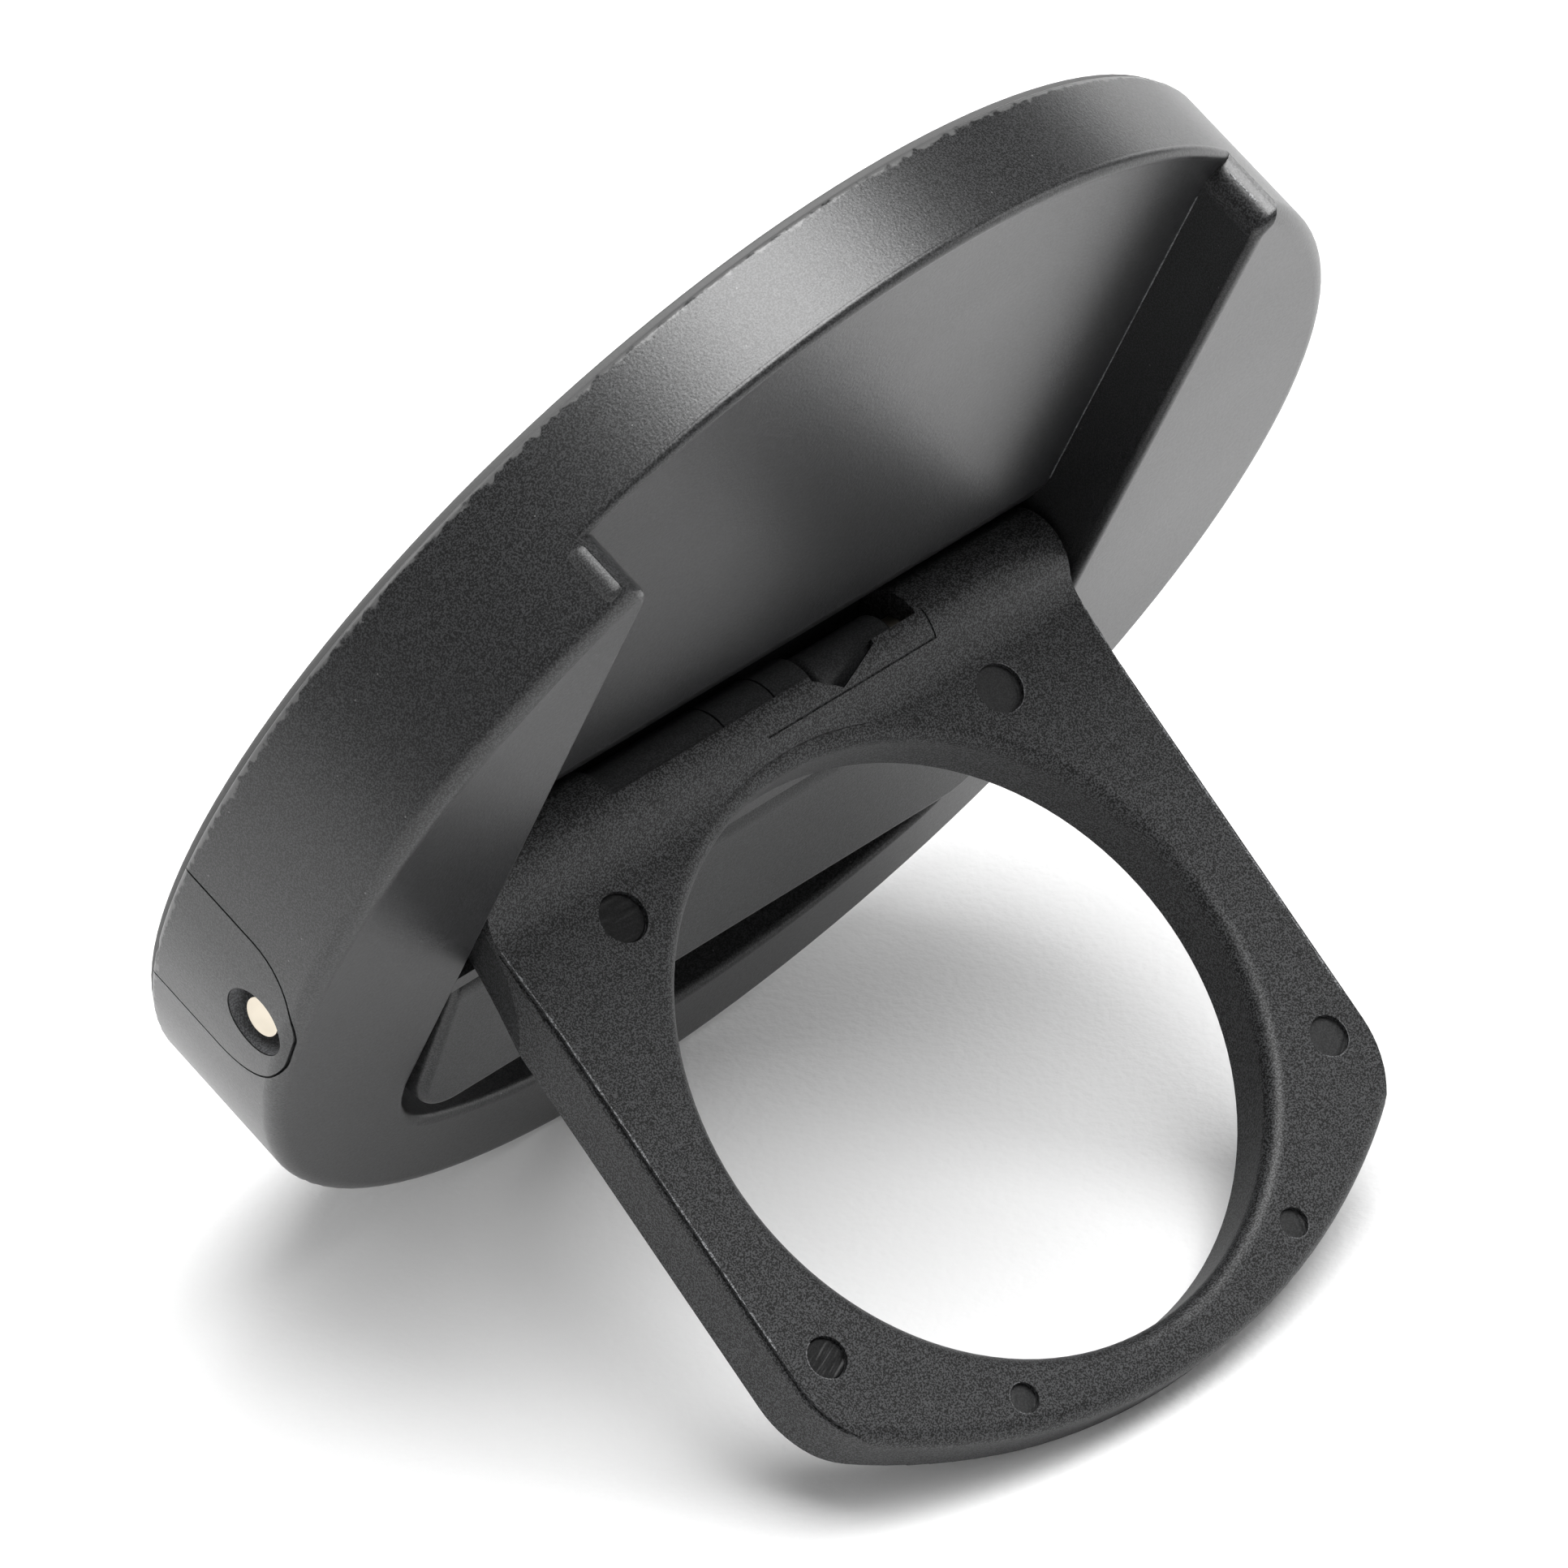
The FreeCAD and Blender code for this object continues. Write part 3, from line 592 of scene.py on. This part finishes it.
# %% [markdown]
# A sharp edge of a textured moulding is the first place to be rubbed: along the flap's sides the edge
# of the inner face shines as a thin, uneven line, partly rubbing and partly a painted highlight. It is a
# narrow pale ribbon that follows the edge, a little raised in the middle; noise varies its width. A mask
# in the material could do it too, but a ribbon is easier to place.

# %% Rubbed and highlit edges of the flap
RIBBON_LEAST = 0.15
RIBBON_RISE = 0.08
NOISE_STEP = 0.7
NOISE_ROW = 20000


def ribbon(name, path, sides, rise, width, fray, material, body):
    """A narrow strip along a path, in metres. Sides give its direction across at each point, rise the
    way its middle is raised, and fray how far noise changes its width."""
    points = []
    for step, (centre, side) in enumerate(zip(path, sides)):
        swell = fray * noise.noise((step * NOISE_STEP, width * NOISE_ROW, 0.3))
        half = width * max(RIBBON_LEAST, 1 + swell) / 2
        points += [centre - side * half, centre + rise * width * RIBBON_RISE, centre + side * half]
    faces = []
    for row in range(0, len(points) - 3, 3):
        faces += [(row, row + 1, row + 4, row + 3), (row + 1, row + 2, row + 5, row + 4)]
    return add_piece(name, points, faces, material, body)


STEP_X = 17.18
STEP_WIDTH = 0.22
STEP_START, STEP_FULL, STEP_END = 2.4, 7.15, 23.0
EDGE_INSET = 0.04
EDGE_WIDTH = 0.00008
EDGE_STEPS = 120
FACE_LEVEL = -0.903
flap_rise = (on_flap(0, 0, -1) - on_flap(0, 0, 0)).normalized()


def rubbed_and_highlit_edge(name, sign):
    """The rubbed line, with its painted highlight, along one side of the flap's inner face."""
    path = []
    for step in range(EDGE_STEPS):
        along = STEP_START + (STEP_END - STEP_START) * step / EDGE_STEPS
        left_over = max(0.0, (STEP_FULL - along) / (STEP_FULL - STEP_START))
        aside = STEP_X + STEP_WIDTH * left_over - EDGE_INSET
        path.append(on_flap(sign * aside, along, FACE_LEVEL))
    sides = [Vector((sign, 0.0, 0.0))] * len(path)
    return ribbon(name, path, sides, flap_rise, EDGE_WIDTH, 1.4, rub_and_highlight_finish, "stand")


edges = [rubbed_and_highlit_edge("rubbed_edge_right", RIGHT), rubbed_and_highlit_edge("rubbed_edge_left", LEFT)]
print("edges:", [piece.name for piece in edges])

# %% [markdown]
# The rims of five ejector marks carry a painted highlight too, a pale line over a part of each circle.
# They are the same ribbon, bent into an arc.

# %% Rims of the marks
RIM_WIDTH = 0.00005
RIM_STEPS = 48


def mark_rim(name, sign, spot, start, sweep):
    """The painted highlight on part of the rim round one ejector mark, from a start angle and over a
    sweep.
    """
    aside, along, radius = spot
    x = sign * aside
    middle = on_flap(x, along, FACE_LEVEL)
    path, sides = [], []
    for step in range(RIM_STEPS + 1):
        way = math.radians(start + sweep * step / RIM_STEPS)
        path.append(on_flap(x + radius * math.cos(way), along + radius * math.sin(way), FACE_LEVEL))
        sides.append((path[-1] - middle).normalized())
    return ribbon(name, path, sides, flap_rise, RIM_WIDTH, 1.5, painted_highlight_finish, "stand")


rims = [
    mark_rim("heel_rim_right", RIGHT, HEEL_MARK, -60, 150),
    mark_rim("corner_rim_left", LEFT, CORNER_MARK, 110, 140),
    mark_rim("corner_rim_right", RIGHT, CORNER_MARK, -20, 160),
    mark_rim("tip_rim_left", LEFT, TIP_MARK, 100, 190),
    mark_rim("tip_rim_right", RIGHT, TIP_MARK, 20, 120),
]
print("rims:", [piece.name for piece in rims])

# %% [markdown]
# The inner corner where the channel's floor meets its wall catches a line of light, because no mould has
# a perfectly sharp corner. A straight pale ribbon that faces out of the corner paints that line as a
# highlight.

# %% Root lines of the channel
ROOT_X = 17.77
ROOT_LENGTH = 20.0
ROOT_LEVEL = 5.03
ROOT_WIDTH = 0.00006


def root_line(name, sign):
    """The line of light in the corner between the channel's floor and one wall."""
    path = [on_disc(sign * ROOT_X, ROOT_LENGTH * step / EDGE_STEPS, ROOT_LEVEL)
            for step in range(EDGE_STEPS + 1)]
    sides = [direction(sign, 0, 1)] * len(path)
    rise = direction(-sign, 0, 1)
    return ribbon(name, path, sides, rise, ROOT_WIDTH, 0.5, painted_highlight_finish, "housing")


roots = [root_line("root_line_right", RIGHT), root_line("root_line_left", LEFT)]
print("root lines:", [piece.name for piece in roots])

# %% [markdown]
# The left ear ends in a short rounded bead where two halves of the mould met. It stands up from the
# floor of the channel and catches the overhead box as a bright strip. It is a row of arcs whose radius
# shrinks at both ends.

# %% The left ear's bead
BEAD_CENTRE = Vector((19.03, 21.05))
BEAD_RADIUS = 0.75
BEAD_LOW, BEAD_HIGH = 5.1, 7.8
BEAD_END = 0.35
BEAD_NARROW = 0.8
BEAD_ROWS, BEAD_ARC = 24, 18
BEAD_START, BEAD_SWEEP = 20, 160


def sheet_faces(rows, steps):
    """Quads of a grid of points that was laid out row by row."""
    faces = []
    for row in range(rows):
        for step in range(steps):
            low = row * (steps + 1) + step
            faces.append((low, low + steps + 1, low + steps + 2, low + 1))
    return faces


def ear_bead(name):
    """The bead at the end of the left ear, from the channel's floor towards the back."""
    points = []
    for row in range(BEAD_ROWS + 1):
        height = BEAD_LOW + (BEAD_HIGH - BEAD_LOW) * row / BEAD_ROWS
        from_end = max(0.0, min(height - BEAD_LOW, BEAD_HIGH - height, BEAD_END)) / BEAD_END
        fullness = math.sqrt(from_end * (2 - from_end))
        radius = BEAD_RADIUS * (BEAD_NARROW + (1 - BEAD_NARROW) * fullness)
        for step in range(BEAD_ARC + 1):
            way = math.radians(BEAD_START + BEAD_SWEEP * step / BEAD_ARC)
            x = BEAD_CENTRE.x - radius * math.cos(way)
            y = BEAD_CENTRE.y + radius * math.sin(way)
            points.append(on_disc(-x, y, height))
    faces = sheet_faces(BEAD_ROWS, BEAD_ARC)
    return add_piece(name, points, faces, bead_finish, "housing")


bead = ear_bead("ear_bead_left")
print("bead:", bead.name, "with", len(bead.data.polygons), "faces")

# %% [markdown]
# The right ear was trimmed and has no bead, only a rubbed line where its inner wall turns into its end.
# The ribbon is used once more, upright on the round corner.

# %% The right ear's rubbed line
EAR_CENTRE = Vector((19.1, 20.508))
EAR_RADIUS = 1.31
WEAR_TURN = math.radians(63)
WEAR_LOW, WEAR_HIGH = 5.5, 7.2
WEAR_WIDTH = 0.00008
WEAR_STEPS = 30


def ear_wear(name):
    """The rubbed line on the right ear, where its inner wall turns into its end."""
    out = Vector((-math.cos(WEAR_TURN), math.sin(WEAR_TURN)))
    spot = EAR_CENTRE + EAR_RADIUS * out
    path = []
    for step in range(WEAR_STEPS + 1):
        height = WEAR_LOW + (WEAR_HIGH - WEAR_LOW) * step / WEAR_STEPS
        path.append(on_disc(spot.x, spot.y, height))
    sides = [direction(out.y, -out.x, 0)] * len(path)
    rise = direction(out.x, out.y, 0)
    return ribbon(name, path, sides, rise, WEAR_WIDTH, 1.2, rub_and_highlight_finish, "housing")


wear = ear_wear("ear_wear_right")
print("wear:", wear.name, "with", len(wear.data.polygons), "faces")

# %% [markdown]
# The round-over where the channel's floor meets the rim lies just where the overhead light begins to
# graze, and there coarse facets show as a row of dark teeth. A strip with many more facets covers them.

# %% Round-over of the channel's floor
DISC_RADIUS = 29.0
FLOOR_LEVEL = 5.0
ROUND_RADIUS = 0.35
ROUND_LIFT = 0.012
ROUND_START, ROUND_SWEEP = 49.3, 81.4
TILT_START, TILT_SWEEP = -15, 120
ROUND_ROWS, ROUND_STEPS = 240, 14


def floor_round(name):
    """A fine strip over the round edge between the channel's floor and the rim."""
    points = []
    reach = ROUND_RADIUS + ROUND_LIFT
    for row in range(ROUND_ROWS + 1):
        way = math.radians(ROUND_START + ROUND_SWEEP * row / ROUND_ROWS)
        for step in range(ROUND_STEPS + 1):
            tilt = math.radians(TILT_START + TILT_SWEEP * step / ROUND_STEPS)
            out = DISC_RADIUS - ROUND_RADIUS + reach * math.cos(tilt)
            height = FLOOR_LEVEL - ROUND_RADIUS + reach * math.sin(tilt)
            points.append(on_disc(out * math.cos(way), out * math.sin(way), height))
    faces = sheet_faces(ROUND_ROWS, ROUND_STEPS)
    return add_piece(name, points, faces, housing_finish, "housing")


strip = floor_round("floor_round")
print("strip:", strip.name, "with", len(strip.data.polygons), "faces")

# %% [markdown]
# The pin's hole is deep and little light reaches its wall, so the wall is painted paler than the moulded
# skin, as painted light. A second material on the housing would need its faces picked by number, so the
# hole gets a thin liner of its own.

# %% Wall of the pin's hole
HOLE_RADIUS = 1.585
HOLE_BOTTOM = -27.1
HOLE_INSET = 0.06
HOLE_STEPS = 72


def hole_wall(name):
    """A thin liner in the pin's hole; its outer end follows the round rim."""
    points = []
    for step in range(HOLE_STEPS):
        way = 2 * math.pi * step / HOLE_STEPS
        y = PIN.y + HOLE_RADIUS * math.cos(way)
        z = PIN.z + HOLE_RADIUS * math.sin(way)
        points.append(on_disc(HOLE_INSET - math.sqrt(DISC_RADIUS ** 2 - y ** 2), y, z))
        points.append(on_disc(HOLE_BOTTOM, y, z))
    faces = []
    for step in range(0, 2 * HOLE_STEPS, 2):
        after = (step + 2) % (2 * HOLE_STEPS)
        faces.append((step, after, after + 1, step + 1))
    return add_piece(name, points, faces, painted_light_hole_finish, "housing")


liner = hole_wall("pin_hole_wall")
print("liner:", liner.name, "with", len(liner.data.polygons), "faces")
